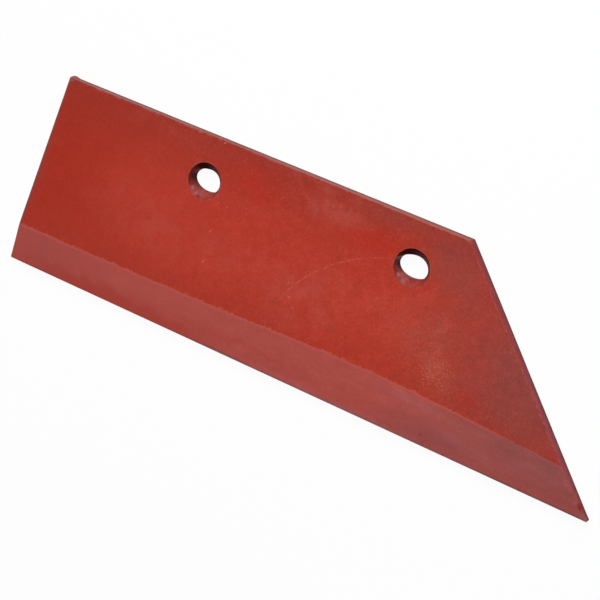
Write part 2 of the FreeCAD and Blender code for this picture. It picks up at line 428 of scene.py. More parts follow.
@dataclass
class SharePlate:
    """The share's plate: outline, bevel, arrises and seats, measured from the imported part.

    The fields that begin with burr, arris, tooth or wave hold how far wear and hand work leave it
    uneven. Those that end in step, pieces, rows, rings, rounds or clear place the mesh's points.
    """

    top_y: float
    edge_y: float
    thickness: float
    seats: list[BoltSeat]
    slot_shifts: ClassVar[tuple[Point2, ...]] = ((0.0, 0.0), (-0.8, -0.2))
    heel_angle: float = 85.0
    point_angle: float = 47.0
    edge_length: float = 457.0
    slot_from_corner: float = 31.0
    bevel_drop: float = 4.0
    bevel_widths: tuple[Point2, ...] = (
        (0.0, 27.6),
        (0.2, 29.0),
        (0.4, 31.0),
        (0.62, 34.0),
        (0.8, 31.6),
        (1.0, 26.5),
    )
    heel_round: float = 1.0
    tip_round: float = 0.3
    shoulder_round: float = 1.0
    top_heel_round: float = 1.2
    burr_height: float = 2.0
    burr_reach: float = 4.2
    burr_depth: float = 5.5
    arris_round: float = 0.4
    arris_sharp: float = 0.2
    arris_sharp_until: float = 1.0
    arris_round_over: float = 3.0
    arris_uneven: float = 0.35
    arris_size: float = 7.0
    arris_seed: float = 4.4
    arris_turns: tuple[float, ...] = (0.0, 22.5, 45.0, 67.5, 90.0)
    arris_face_rings: int = 2
    edge_rings: tuple[float, ...] = (0.2, 0.4, 0.6, 0.8, 1.0)
    edge_step: float = 1.2
    round_step: float = 0.6
    round_pieces: int = 4
    field_step: float = 3.2
    field_clear: float = 2.2
    field_off_rows: float = 1.92
    back_step: float = 5.0
    back_clear: float = 3.0
    line_step: float = 0.9
    line_rounds: int = 20
    line_rows: tuple[float, ...] = (0.8, 1.9, 3.4, 5.6)
    row_widening: float = 0.45
    row_clear: float = 1.0
    seat_rings: tuple[tuple[float, int], ...] = ((0.9, 90), (2.3, 64))
    seat_clear: float = 3.6
    crease_angle: float = 32.0
    tooth_height: float = 0.42
    tooth_sizes: Point2 = (1.7, 9.0)
    tooth_seeds: Point2 = (3.1, 7.7)
    wave_depth: float = 0.035
    wave_sizes: Point2 = (46.0, 30.0)
    wave_seed: float = 1.3

    @classmethod
    def from_frame(cls, frame: dict) -> "SharePlate":
        """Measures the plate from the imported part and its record.

        Args:
            frame: What the frame's load gives.

        Returns:
            The plate, with one seat for each bolt slot.
        """
        low, high = (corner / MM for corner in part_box(SHARE_NODE))
        mount = next(m for m in frame["record"]["mounts"] if m["name"] == "bolt_slots")
        sizes = mount["dims"]
        seats = []
        for i in range(sizes["count"]):
            x = (i - (sizes["count"] - 1) / 2) * sizes["spacing_x_mm"]
            shift = cls.slot_shifts[i % len(cls.slot_shifts)]
            seats.append(BoltSeat((x, 0.0), sizes["slot_length_mm"], 2 * sizes["hole_r_mm"], shift))
        return cls(top_y=high.y, edge_y=low.y, thickness=high.z - low.z, seats=seats)

    @property
    def width(self) -> float:
        """Distance from the cutting edge to the top edge."""
        return self.top_y - self.edge_y

    @property
    def heel_lean(self) -> float:
        """How far the heel end moves along the plate for each millimetre across it."""
        return 1 / math.tan(math.radians(self.heel_angle))

    @property
    def point_lean(self) -> float:
        """How far the slanted end moves along the plate for each millimetre across it."""
        return 1 / math.tan(math.radians(self.point_angle))

    @property
    def shoulder_x(self) -> float:
        """Place along the plate of the slanted end's top, before its round."""
        return max(seat.centre[0] for seat in self.seats) + self.slot_from_corner

    @property
    def tip_x(self) -> float:
        """Place of the point along the plate, before its round."""
        return self.shoulder_x + self.width * self.point_lean

    @property
    def heel_x(self) -> float:
        """Place of the heel corner along the plate, before its round."""
        return self.tip_x - self.edge_length

    def corners(self) -> list[tuple[Point2, float]]:
        """The outline's corners.

        Returns:
            Each corner with its round, anticlockwise from the heel.
        """
        return [
            ((self.heel_x, self.edge_y), self.heel_round),
            ((self.tip_x, self.edge_y), self.tip_round),
            ((self.shoulder_x, self.top_y), self.shoulder_round),
            ((self.heel_x + self.width * self.heel_lean, self.top_y), self.top_heel_round),
        ]

    def bevel_width(self, x: float) -> float:
        """Width of the bevel, which bows a little along the plate.

        Args:
            x: Place along the plate.

        Returns:
            The distance from the cutting edge to the bevel's top line.
        """
        t = min(max((x - self.heel_x) / self.edge_length, 0.0), 1.0)
        known = self.bevel_widths
        i = min(sum(1 for share, _ in known[1:-1] if t > share), len(known) - 2)
        (t1, w1), (t2, w2) = known[i], known[i + 1]
        t0, w0 = known[max(i - 1, 0)]
        t3, w3 = known[min(i + 2, len(known) - 1)]
        rise1, rise2 = (w2 - w0) / (t2 - t0), (w3 - w1) / (t3 - t1)
        u, gap = (t - t1) / (t2 - t1), t2 - t1
        return (
            (2 * u**3 - 3 * u**2 + 1) * w1
            + (u**3 - 2 * u**2 + u) * gap * rise1
            + (3 * u**2 - 2 * u**3) * w2
            + (u**3 - u**2) * gap * rise2
        )

    def line_y(self, x: float) -> float:
        """Where the bevel's top line lies, with the small teeth of its grinding.

        Args:
            x: Place along the plate.

        Returns:
            The line's place across the plate.
        """
        sizes = zip(self.tooth_sizes, self.tooth_seeds)
        teeth = sum(noise.noise(Vector((x / size, seed, 0.0))) for size, seed in sizes)
        return self.edge_y + self.bevel_width(x) + self.tooth_height * teeth

    def front_region(self, x: float, y: float) -> Region:
        """Whether a place on the front lies on the flat face or on the bevel."""
        return Region.FRONT if y > self.line_y(x) else Region.BEVEL

    def front_height(self, x: float, y: float) -> float:
        """Height of the front face or of the bevel.

        Args:
            x: Place along the plate.
            y: Place across the plate.

        Returns:
            The height above the back face.
        """
        share = (y - self.edge_y) / self.bevel_width(x)
        ground = self.thickness - self.bevel_drop * (1 - share)
        wave = noise.noise(Vector((x / self.wave_sizes[0], y / self.wave_sizes[1], self.wave_seed)))
        return min(self.thickness - self.wave_depth * (0.5 + 0.5 * wave), ground)

    def burr_at(self, x: float, y: float, z: float) -> float:
        """How far the small burr at the top heel corner stands out across the plate.

        Args:
            x: Place along the plate.
            y: Place across the plate.
            z: Height above the back face.

        Returns:
            The burr's rise at that place of the outline, 0 away from the corner.
        """
        (corner, _), through = self.corners()[-1], (z - self.burr_depth) / (self.burr_depth + 1)
        near = max(0.0, 1 - math.dist(corner, (x, y)) / self.burr_reach)
        return self.burr_height * near * near * (3 - 2 * near) * max(0.0, 1 - through * through)

    def arris_at(self, x: float, y: float) -> float:
        """Radius of the arrises: nearly sharp along the cutting edge, and rounded elsewhere.

        Args:
            x: Place along the plate.
            y: Place across the plate.

        Returns:
            The radius in millimetres.
        """
        beyond = (y - self.edge_y - self.arris_sharp_until) / self.arris_round_over
        rise = min(max(beyond, 0.0), 1.0)
        patch = noise.noise(Vector((x / self.arris_size, y / self.arris_size, self.arris_seed)))
        radius = self.arris_sharp + (self.arris_round - self.arris_sharp) * rise
        return radius * (1.0 + self.arris_uneven * patch)

    def rounds(self) -> list[tuple[Vector, float, Vector, Vector]]:
        """The arcs that round the outline's corners.

        Returns:
            Each arc's centre, radius, start and end, anticlockwise from the heel.
        """
        corners = self.corners()
        arcs = []
        for i, (corner, radius) in enumerate(corners):
            here = Vector(corner)
            back = (Vector(corners[i - 1][0]) - here).normalized()
            ahead = (Vector(corners[(i + 1) % len(corners)][0]) - here).normalized()
            half = back.angle(ahead) / 2
            centre = here + (back + ahead).normalized() * (radius / math.sin(half))
            reach = radius / math.tan(half)
            arcs.append((centre, radius, here + back * reach, here + ahead * reach))
        return arcs

    def outline(self, stops: list[float]) -> tuple[list[Point2], list[Point2]]:
        """The plate's outline with rounded corners.

        Args:
            stops: Places across the plate at which both ends get a point of their own.

        Returns:
            The outline's points, anticlockwise, and the inward unit normal at each.
        """
        points, normals = [], []
        arcs = self.rounds()
        for (centre, radius, start, end), (_, _, goal, _) in zip(arcs, arcs[1:] + arcs[:1]):
            first = math.atan2(start.y - centre.y, start.x - centre.x)
            turn = (math.atan2(end.y - centre.y, end.x - centre.x) - first) % (2 * math.pi)
            steps = max(self.round_pieces, math.ceil(turn * radius / self.round_step))
            for step in range(steps + 1):
                angle = first + turn * step / steps
                out = Vector((math.cos(angle), math.sin(angle)))
                points.append(tuple(centre + out * radius))
                normals.append(tuple(-out))
            run = goal - end
            inward = Vector((-run.y, run.x)).normalized()
            shares = [0.0, 1.0]
            if abs(run.y) > self.width / 2:
                shares += [(stop - end.y) / run.y for stop in stops]
            shares = sorted(share for share in shares if 0 <= share <= 1)
            for low, high in zip(shares, shares[1:]):
                pieces = max(1, math.ceil(run.length * (high - low) / self.edge_step))
                for piece in range(pieces):
                    share = low + (high - low) * piece / pieces
                    if share > 0:
                        points.append(tuple(end + run * share))
                        normals.append(tuple(inward))
        return points, normals

    def inside(self, x: float, y: float) -> float:
        """Distance of a place from the nearest edge of the outline.

        Args:
            x: Place along the plate.
            y: Place across the plate.

        Returns:
            The distance, positive on the plate.
        """
        corners = [corner for corner, _ in self.corners()]
        nearest = math.inf
        for (ax, ay), (bx, by) in zip(corners, corners[1:] + corners[:1]):
            run = math.hypot(bx - ax, by - ay)
            nearest = min(nearest, ((bx - ax) * (y - ay) - (by - ay) * (x - ax)) / run)
        return nearest

    def clear_of_seats(self, x: float, y: float, clear: float) -> bool:
        """Whether a place keeps clear of every countersink's rim by a distance."""
        return all(math.dist((x, y), seat.centre) > seat.rim_reach(clear) for seat in self.seats)

    def loose_points(self, step: float, off_line: float, clear: float) -> list[Point2]:
        """Points of a triangular grid over the plate.

        Args:
            step: Distance between neighbours.
            off_line: Least distance from the bevel's top line.
            clear: Least distance from the outline and the rims.

        Returns:
            The grid's points that keep clear.
        """
        points = []
        row_step = step * math.sqrt(3) / 2
        for row in range(math.ceil(self.width / row_step)):
            y = self.edge_y + row * row_step
            shift = step / 2 if row % 2 else 0.0
            for column in range(math.ceil(self.edge_length / step)):
                x = self.heel_x + shift + column * step
                keeps_off = abs(y - self.edge_y - self.bevel_width(x)) >= off_line
                if keeps_off and self.inside(x, y) >= clear and self.clear_of_seats(x, y, clear):
                    points.append((x, y))
        return points

    def front_spots(self) -> list[Point2]:
        """Loose points of the front.

        Returns:
            Rows beside the bevel's line, rings round the seats, and a grid.
        """
        spots = []
        for row, offset in enumerate(self.line_rows):
            step = self.line_step * (1 + self.row_widening * row)
            for i in range(math.floor(self.edge_length / step)):
                x = self.heel_x + (i + 0.5 * (row % 2)) * step
                for y in (self.line_y(x) + offset, self.line_y(x) - offset):
                    if self.inside(x, y) > self.row_clear:
                        spots.append((x, y))
        for seat in self.seats:
            for clear, count in self.seat_rings:
                ring = seat.ring(lambda _: 0.0, lambda _: seat.rim_reach(clear), count)
                spots += [(x, y) for x, y, _ in ring]
        off_line = self.line_rows[-1] + self.field_off_rows
        grid = self.loose_points(self.field_step, off_line, self.field_clear)
        return spots + [(x, y) for x, y in grid if self.clear_of_seats(x, y, self.seat_clear)]

    def line_ends(self) -> list[Point2]:
        """Where the bevel's top line meets the heel's edge and the slanted end.

        Returns:
            Both places, the heel's first.
        """
        heel, point = self.heel_x, self.tip_x
        for _ in range(self.line_rounds):
            heel = self.heel_x + (self.line_y(heel) - self.edge_y) * self.heel_lean
            point = self.tip_x - (self.line_y(point) - self.edge_y) * self.point_lean
        return [(heel, self.line_y(heel)), (point, self.line_y(point))]

    def line_chain(self, skin: Skin, front_loop: Loop, ends: list[Point2]) -> Loop:
        """Adds the bevel's top line to the skin.

        Args:
            skin: The skin that it belongs to.
            front_loop: The loop round the front face, in which the line starts and ends.
            ends: Where the line meets the outline.

        Returns:
            The line's point numbers, from the heel to the slanted end.
        """
        close = [min(front_loop, key=lambda n: math.dist(skin.points[n][:2], end)) for end in ends]
        left, right = skin.points[close[0]][0], skin.points[close[1]][0]
        count = math.floor((right - left) / self.line_step)
        xs = [left + (right - left) * i / count for i in range(1, count)]
        middle = skin.add_loop([(x, self.line_y(x), self.front_height(x, self.line_y(x))) for x in xs])
        return [close[0]] + middle + [close[1]]

    def wrap_edges(self, skin: Skin, stops: list[float]) -> tuple[Loop, Loop]:
        """Adds the plate's edges, from the arris of the back to that of the front.

        Args:
            skin: The skin that they belong to.
            stops: Places across the plate at which both ends get a point of their own.

        Returns:
            The loop round the back and the loop round the front.
        """
        outline, inward = self.outline(stops)
        turns = [math.radians(degrees) for degrees in self.arris_turns]
        # Each ring: how far in and up it lies, in radii of the arris, and its share of the flat between.
        rings = [(1 - math.sin(turn), 1 - math.cos(turn), 0.0) for turn in turns]
        rings += [(0.0, 1.0, share) for share in self.edge_rings]
        rings += [(1 - math.cos(turn), 1 + math.sin(turn), 1.0) for turn in turns[1:]]
        back = front = None
        for number, (inset, rise, share) in enumerate(rings):
            loop = []
            for (x, y), (nx, ny) in zip(outline, inward):
                radius = self.arris_at(x, y)
                px, py = x + nx * (radius * inset), y + ny * (radius * inset)
                z = radius * rise + (self.front_height(px, py) - 2 * radius) * share
                loop.append((px, py + self.burr_at(x, y, z), z))
            if front is None:
                back = front = skin.add_loop(loop)
                continue
            on_face = number >= len(rings) - self.arris_face_rings
            front = skin.extend(front, loop, self.front_region if on_face else only(Region.EDGE))
        return back, front

    def build(self) -> bpy.types.Object:
        """Builds the plate's closed skin.

        Returns:
            The plate's object, with its distances kept as attributes for the paint.
        """
        skin = Skin()
        line_ends = self.line_ends()
        back_loop, front_loop = self.wrap_edges(skin, [y for _, y in line_ends])
        holes = [seat.build(skin, self.front_height, self.thickness) for seat in self.seats]
        skin.fill(
            front_loop,
            [front for front, _ in holes],
            self.line_chain(skin, front_loop, line_ends),
            skin.add_loop([(x, y, self.front_height(x, y)) for x, y in self.front_spots()]),
            lambda x, y: not any(seat.covers(x, y, True) for seat in self.seats),
            self.front_region,
            True,
        )
        back_spots = self.loose_points(self.back_step, 0.0, self.back_clear)
        skin.fill(
            back_loop,
            [back for _, back in holes],
            [],
            skin.add_loop([(x, y, 0.0) for x, y in back_spots]),
            lambda x, y: not any(seat.covers(x, y, False) for seat in self.seats),
            only(Region.BACK),
            False,
        )
        piece = skin.to_object("share_plate", self.crease_angle)
        self.keep_distances(piece)
        return piece

    def keep_distances(self, piece: bpy.types.Object) -> None:
        """Keeps each point's distance from the bevel's line and from the nearest arris, for the paint.

        Args:
            piece: The plate's object.
        """
        beyond, arris = [], []
        for vertex in piece.data.vertices:
            x, y, _ = vertex.co / MM
            beyond.append(y - self.line_y(x))
            from_rims = min(abs(math.dist((x, y), s.centre) - s.sink_diameter / 2) for s in self.seats)
            arris.append(min(max(self.inside(x, y), 0.0), from_rims))
        for name, values in (("beyond_bevel", beyond), ("from_arris", arris)):
            kept = piece.data.attributes.new(name, "FLOAT", "POINT")
            kept.data.foreach_set("value", values)


@dataclass
class NodeBench:
    """Adds shader nodes to one material or world, which it empties first."""

    owner: bpy.types.Material | bpy.types.World

    def __post_init__(self) -> None:
        """Empties the owner's nodes."""
        self.owner.use_nodes = True
        self.tree = self.owner.node_tree
        self.tree.nodes.clear()

    def node(
        self, kind: str, inputs: Mapping[str | int, Value] | None = None, **settings: str
    ) -> bpy.types.Node:
        """Adds a node.

        Args:
            kind: Blender's name of the kind of node.
            inputs: What goes to its sockets, by their names or numbers.
            **settings: Its other settings, such as its operation.

        Returns:
            The new node.
        """
        made = self.tree.nodes.new(kind)
        for name, value in settings.items():
            setattr(made, name, value)
        for key, value in (inputs or {}).items():
            self.link(value, made.inputs[key])
        return made

    def link(self, source: Value, target: Socket) -> None:
        """Links a socket to another, or sets a plain value on it.

        Args:
            source: The socket, number, place or colour that it takes.
            target: The socket that takes it.
        """
        if isinstance(source, Socket):
            self.tree.links.new(source, target)
        elif target.type == "RGBA":
            target.default_value = (*source, 1.0)
        else:
            target.default_value = source

    def math(self, operation: str, *values: Socket | float) -> Socket:
        """Adds a Math node for one operation on its values."""
        return self.node("ShaderNodeMath", dict(enumerate(values)), operation=operation).outputs[0]

    def times(self, first: Socket | float, *others: Socket | float) -> Socket:
        """The product of several values.

        Args:
            first: The first value.
            *others: The values that it is multiplied by.

        Returns:
            The product.
        """
        for other in others:
            first = self.math("MULTIPLY", first, other)
        return first

    def show(self, kind: str, share: Socket, hidden: bpy.types.Node, shown: bpy.types.Node) -> None:
        """Ends the tree with a mix of two shaders.

        Args:
            kind: Blender's name of the output node.
            share: How much of the second shader is in the mix.
            hidden: The first shader.
            shown: The second shader.
        """
        blend = self.node("ShaderNodeMixShader", {0: share, 1: hidden.outputs[0], 2: shown.outputs[0]})
        self.node(kind, {"Surface": blend.outputs[0]})

    def seen_directly(self) -> Socket:
        """Tells what is seen from what lights the object.

        Returns:
            1 for what the camera sees itself or in gloss or glass, and 0 for light on the object.
        """
        path = self.node("ShaderNodeLightPath")
        total = path.outputs["Is Camera Ray"]
        for name in ("Is Glossy Ray", "Is Transmission Ray"):
            total = self.math("MAXIMUM", total, path.outputs[name])
        return total


@dataclass(frozen=True)
class Cloud:
    """One pattern of soft noise.

    Attributes:
        size: Size of its features in millimetres.
        detail: Number of finer layers.
        seed: Shift that makes it differ from others.
    """

    size: float
    detail: float
    seed: float


@dataclass
class PaintShop(NodeBench):
    """Adds a paint's nodes to a material, with its coordinates in millimetres of the part's frame."""

    seed_shift: ClassVar[Point3] = (1.0, 0.7, 1.3)
    cloud_roughness: ClassVar[float] = 0.6
    ragged_detail: ClassVar[float] = 3.0
    mark_depth: ClassVar[float] = 1e4
    scratch_wobble: ClassVar[Point2] = (6.0, 0.5)
    scratch_core: ClassVar[float] = 0.3
    scratch_clouds: ClassVar[Point2] = (3.2, 2.0)
    scratch_breaks: ClassVar[Point3] = (0.42, 0.66, 0.1)
    scratch_window: ClassVar[Point2] = (1.08, 0.5)
    scratch_ends: ClassVar[float] = 0.12

    def __post_init__(self) -> None:
        """Empties the material's nodes and makes the coordinates."""
        super().__post_init__()
        place = self.node("ShaderNodeTexCoord").outputs["Object"]
        self.place = self.scaled(place, 1 / MM)

    def vector(self, operation: str, *values: Socket | Point3) -> Socket:
        """Adds a Vector Math node for one operation on its places, and gives its place or number."""
        made = self.node("ShaderNodeVectorMath", dict(enumerate(values)), operation=operation)
        return made.outputs["Value" if operation in ("LENGTH", "DISTANCE") else "Vector"]

    def scaled(self, value: Socket, factor: float) -> Socket:
        """A place or a colour times a factor."""
        return self.node("ShaderNodeVectorMath", {0: value, "Scale": factor}, operation="SCALE").outputs[0]

    def attribute(self, name: str) -> Socket:
        """Reads a number that the mesh keeps at its points."""
        return self.node("ShaderNodeAttribute", attribute_name=name).outputs["Fac"]

    def axis(self, name: str) -> Socket:
        """One coordinate of the place, in millimetres."""
        return self.node("ShaderNodeSeparateXYZ", {0: self.place}).outputs[name]

    def noise(self, cloud: Cloud, stretch: Point3 = (1.0, 1.0, 1.0)) -> Socket:
        """Soft noise between about 0 and 1.

        Args:
            cloud: Its pattern.
            stretch: Size of its features along each axis, as a share of the cloud's.

        Returns:
            The noise's value.
        """
        inputs = {
            "Vector": self.place,
            "Location": tuple(cloud.seed * share for share in self.seed_shift),
            "Scale": tuple(1 / (cloud.size * share) for share in stretch),
        }
        place = self.node("ShaderNodeMapping", inputs).outputs[0]
        inputs = {"Vector": place, "Scale": 1.0, "Detail": cloud.detail, "Roughness": self.cloud_roughness}
        return self.node("ShaderNodeTexNoise", inputs).outputs["Fac"]

    def fade(self, value: Socket, start: float, end: float, low: float = 0.0, high: float = 1.0) -> Socket:
        """Turns one value smoothly into another.

        Args:
            value: The value.
            start: Where the change starts.
            end: Where it ends, which may be below the start.
            low: The result up to the start.
            high: The result from the end on.

        Returns:
            The result.
        """
        limits = {"From Min": start, "From Max": end, "To Min": low, "To Max": high}
        kind = "ShaderNodeMapRange"
        return self.node(kind, {"Value": value, **limits}, interpolation_type="SMOOTHSTEP").outputs[0]

    def mix(self, amount: Socket | float, first: Socket | Colour, second: Socket | Colour) -> Socket:
        """Mixes an amount of a second colour into a first one."""
        return self.node("ShaderNodeMix", {0: amount, 6: first, 7: second}, data_type="RGBA").outputs[2]

    def ragged_place(self, size: float, reach: float) -> Socket:
        """The place, pushed about by noise so that what is drawn with it gets a ragged outline.

        Args:
            size: Size of the noise's features in millimetres.
            reach: How far the place is pushed.

        Returns:
            The pushed place.
        """
        place = self.scaled(self.place, 1 / size)
        inputs = {"Vector": place, "Scale": 1.0, "Detail": self.ragged_detail}
        shift = self.node("ShaderNodeTexNoise", inputs)
        centred = self.vector("SUBTRACT", shift.outputs["Color"], (0.5, 0.5, 0.5))
        return self.vector("MULTIPLY_ADD", centred, (2 * reach, 2 * reach, 0.0), self.place)

    def oval(self, mark: Mark, place: Socket) -> Socket:
        """A soft oval about a mark's place.

        Args:
            mark: The mark.
            place: The coordinates that it is drawn with.

        Returns:
            The mark's strength in its middle, falling to 0 at its outline.
        """
        inputs = {
            "Vector": place,
            "Location": (mark.x, mark.y, 0.0),
            "Rotation": (0.0, 0.0, math.radians(mark.turn)),
            "Scale": (mark.length / 2, mark.width / 2, self.mark_depth),
        }
        mapping = self.node("ShaderNodeMapping", inputs, vector_type="TEXTURE")
        away = self.vector("LENGTH", mapping.outputs[0])
        return self.fade(away, 1.0, 1.0 - 2 * mark.ragged, 0.0, mark.strength)

    def marks(self, marks: list[Mark], place: Socket) -> Socket:
        """The strongest of several marks at each place.

        Args:
            marks: One mark or more.
            place: The coordinates that they are drawn with.

        Returns:
            Their strength.
        """
        total, *others = [self.oval(mark, place) for mark in marks]
        for other in others:
            total = self.math("MAXIMUM", total, other)
        return total

    def scratch(self, scratch: Scratch) -> Socket:
        """A thin arc that comes and goes along its length.

        Args:
            scratch: The scratch.

        Returns:
            Its strength at each place.
        """
        flat = self.vector("MULTIPLY", self.ragged_place(*self.scratch_wobble), (1.0, 1.0, 0.0))
        away = self.vector("DISTANCE", flat, (*scratch.centre, 0.0))
        off = self.math("ABSOLUTE", self.math("SUBTRACT", away, scratch.radius))
        line = self.fade(off, scratch.width, scratch.width * self.scratch_core)
        (x0, y0), (x1, y1) = scratch.start, scratch.end
        middle = ((x0 + x1) / 2, (y0 + y1) / 2)
        size = (share * math.dist(scratch.start, scratch.end) for share in self.scratch_window)
        lean = math.degrees(math.atan2(y1 - y0, x1 - x0))
        window = self.oval(Mark(MarkKind.CHIP, *middle, *size, lean, ragged=self.scratch_ends), self.place)
        clouds = self.noise(Cloud(*self.scratch_clouds, scratch.radius))
        return self.times(line, window, self.fade(clouds, *self.scratch_breaks), scratch.strength)


@dataclass(frozen=True)
class Band:
    """A band of another colour that sets in along one axis of the plate.

    Attributes:
        colour: Its colour.
        start: Where it sets in.
        end: Where it is full, which may be below the start.
        strength: How much it shows where it is full.
        wander: How far its rim wanders to either side.
        axis: The axis that start and end lie on.
    """

    colour: Colour
    start: float
    end: float
    strength: float = 1.0
    wander: float = 0.0
    axis: str = "Y"


@dataclass(frozen=True)
class RimWear:
    """Thin, broken wear along an arris or along the bevel's top line.

    Attributes:
        attribute: The mesh's attribute that holds the distance from the rim.
        colour: Its colour.
        width: How far it reaches from the rim.
        strength: How much it shows.
        sparse: How much of the rim it leaves out, as a value of the noise.
        size: Size of its patches.
        until: Place along the plate from which it fades out.
    """

    attribute: str
    colour: Colour
    width: float
    strength: float
    sparse: float = 0.5
    size: float = 3.0
    until: float = 1000.0

    core: ClassVar[float] = 0.25
    break_spread: ClassVar[Point2] = (-0.06, 0.08)
    fades_over: ClassVar[float] = 45.0
    left_over: ClassVar[float] = 0.2

    def clouds(self) -> Cloud:
        """The noise that breaks the wear up, of its own for each width."""
        return Cloud(self.size, 2.0, 7 * self.width)


@dataclass(frozen=True)
class Tone:
    """How the high and low places of a cloud tone the paint.

    Attributes:
        light: Noise values from which to which the hazy, lighter tone sets in.
        dark: The same for the darker tone.
        haze: Share of the pale colour of the painted light marks in the lighter tone.
        lighter: Factor of the lighter tone.
        darker: Factor of the darker tone.
    """

    light: Point2
    dark: Point2
    haze: float
    lighter: float
    darker: float


@dataclass(frozen=True)
class WornPaint:
    """A coat of red paint with its grain, patches and wear, and with light, shade and sheen painted into
    it.

    A name that ends in fade holds the places along the plate from which to which one look gives
    way to the next, and one in breaks the noise values from which to which something sets in.
    """

    name: str
    heel: Colour
    middle: Colour
    point: Colour
    bloom: Colour = (0.38, 0.085, 0.066)
    dull: Colour = (0.27, 0.062, 0.052)
    grime: Colour = (0.15, 0.036, 0.03)
    # Grey-lilac: the painted glint on the steel in a slot.
    bare: Colour = (0.36, 0.27, 0.29)
    chip: Colour = (0.62, 0.22, 0.15)
    speck: Colour = (0.52, 0.23, 0.06)
    fresh: Colour = (0.42, 0.02, 0.008)
    gloss: float = 0.22
    roughness: float = 0.46
    grain: float = 0.62
    mottle: float = 0.42
    patch: float = 0.3
    streak: Point3 = (1.0, 1.0, 1.0)
    painted_light_clouds: Cloud = Cloud(13.0, 5.0, 51.0)
    point_fade: Point2 = (66.0, 190.0)
    bump: float = 0.35
    bands: tuple[Band, ...] = ()
    wear: tuple[RimWear, ...] = ()
    marks: tuple[Mark, ...] = ()
    scratches: tuple[Scratch, ...] = ()

    heel_fade: ClassVar[Point2] = (-225.0, -85.0)
    grain_fade: ClassVar[Point2] = (-210.0, 20.0)
    grain_shares: ClassVar[Point2] = (0.6, 1.2)
    mottle_fade: ClassVar[Point2] = (-190.0, 60.0)
    mottle_shares: ClassVar[Point2] = (0.35, 1.0)
    drift_clouds: ClassVar[Cloud] = Cloud(34.0, 3.0, 21.0)
    drift_reach: ClassVar[float] = 80.0
    coarse_grain: ClassVar[Cloud] = Cloud(1.6, 2.0, 11.0)
    fine_grain: ClassVar[Cloud] = Cloud(0.8, 1.0, 5.0)
    grain_tone: ClassVar[Tone] = Tone((0.52, 0.68), (0.46, 0.3), 0.4, 1.4, 0.68)
    grain_height: ClassVar[float] = 0.12
    patch_clouds: ClassVar[Cloud] = Cloud(17.0, 3.0, 61.0)
    mottle_clouds: ClassVar[Cloud] = Cloud(6.5, 4.0, 8.0)
    mottle_tone: ClassVar[Tone] = Tone((0.5, 0.72), (0.5, 0.28), 0.2, 1.25, 0.78)
    painted_light_breaks: ClassVar[tuple[float, ...]] = (0.36, 0.62, 0.15, 1.0)
    speck_clouds: ClassVar[Cloud] = Cloud(1.3, 1.0, 31.0)
    speck_breaks: ClassVar[Point2] = (0.54, 0.64)
    gloss_clouds: ClassVar[Cloud] = Cloud(14.0, 3.0, 2.0)
    gloss_breaks: ClassVar[Point2] = (0.25, 0.75)
    gloss_spread: ClassVar[Point2] = (-0.05, 0.08)
    soft_rims: ClassVar[Point2] = (11.0, 7.0)
    crisp_rims: ClassVar[Point2] = (1.6, 0.5)

    def build(self) -> bpy.types.Material:
        """Makes the material.

        Returns:
            The finished material.
        """
        shop = PaintShop(bpy.data.materials.new(self.name))
        colour = self.weathered_and_lit(shop)
        grains = (shop.times(shop.noise(cloud), 0.5) for cloud in (self.coarse_grain, self.fine_grain))
        speckle = shop.math("ADD", *grains)
        shares = (share * self.grain for share in self.grain_shares)
        amount = shop.fade(shop.axis("X"), *self.grain_fade, *shares)
        colour = self.toned(shop, colour, speckle, self.grain_tone, amount)
        spread = (self.roughness + step for step in self.gloss_spread)
        rough = shop.fade(shop.noise(self.gloss_clouds), *self.gloss_breaks, *spread)
        inputs = {"Strength": self.bump, "Distance": self.grain_height * MM, "Height": speckle}
        bump = shop.node("ShaderNodeBump", inputs)
        inputs = {
            "Specular IOR Level": self.gloss,
            "Base Color": colour,
            "Roughness": rough,
            "Normal": bump.outputs[0],
        }
        shader = shop.node("ShaderNodeBsdfPrincipled", inputs)
        shop.node("ShaderNodeOutputMaterial", {"Surface": shader.outputs[0]})
        return shop.owner

    def weathered_and_lit(self, shop: PaintShop) -> Socket:
        """The coat's colour with its bands, patches, marks and wear, before the grain; several bands and
        marks are painted light and shade.

        Args:
            shop: The material's nodes.

        Returns:
            The colour.
        """
        cloud = shop.math("SUBTRACT", shop.noise(self.drift_clouds), 0.5)
        drift = shop.math("ADD", shop.axis("X"), shop.times(cloud, self.drift_reach))
        colour = shop.mix(shop.fade(drift, *self.heel_fade), self.heel, self.middle)
        colour = shop.mix(shop.fade(drift, *self.point_fade), colour, self.point)
        for band in self.bands:
            place = shop.axis(band.axis)
            if band.wander:
                place = shop.math("ADD", place, shop.times(cloud, 2 * band.wander))
            amount = shop.fade(place, band.start, band.end, 0.0, band.strength)
            colour = shop.mix(amount, colour, band.colour)
        worn = shop.fade(shop.axis("X"), *self.mottle_fade, *self.mottle_shares)
        for clouds, strength in ((self.patch_clouds, self.patch), (self.mottle_clouds, self.mottle)):
            uneven, amount = shop.noise(clouds, self.streak), shop.times(worn, strength)
            colour = self.toned(shop, colour, uneven, self.mottle_tone, amount)
        colour = self.marked(shop, colour)
        for wear in self.wear:
            colour = shop.mix(self.worn_rim(shop, wear), colour, wear.colour)
        for scratch in self.scratches:
            colour = shop.mix(shop.scratch(scratch), colour, self.chip)
        return colour

    def toned(self, shop: PaintShop, colour: Socket, cloud: Socket, tone: Tone, amount: Socket) -> Socket:
        """A colour made lighter and darker by a cloud.

        Args:
            shop: The material's nodes.
            colour: The even colour.
            cloud: The cloud's noise.
            tone: How its high and low places tone the paint.
            amount: How much of that shows.

        Returns:
            The uneven colour.
        """
        hazy = shop.mix(tone.haze, shop.scaled(colour, tone.lighter), self.bloom)
        light = shop.times(shop.fade(cloud, *tone.light), amount)
        dark = shop.times(shop.fade(cloud, *tone.dark), amount)
        return shop.mix(dark, shop.mix(light, colour, hazy), shop.scaled(colour, tone.darker))

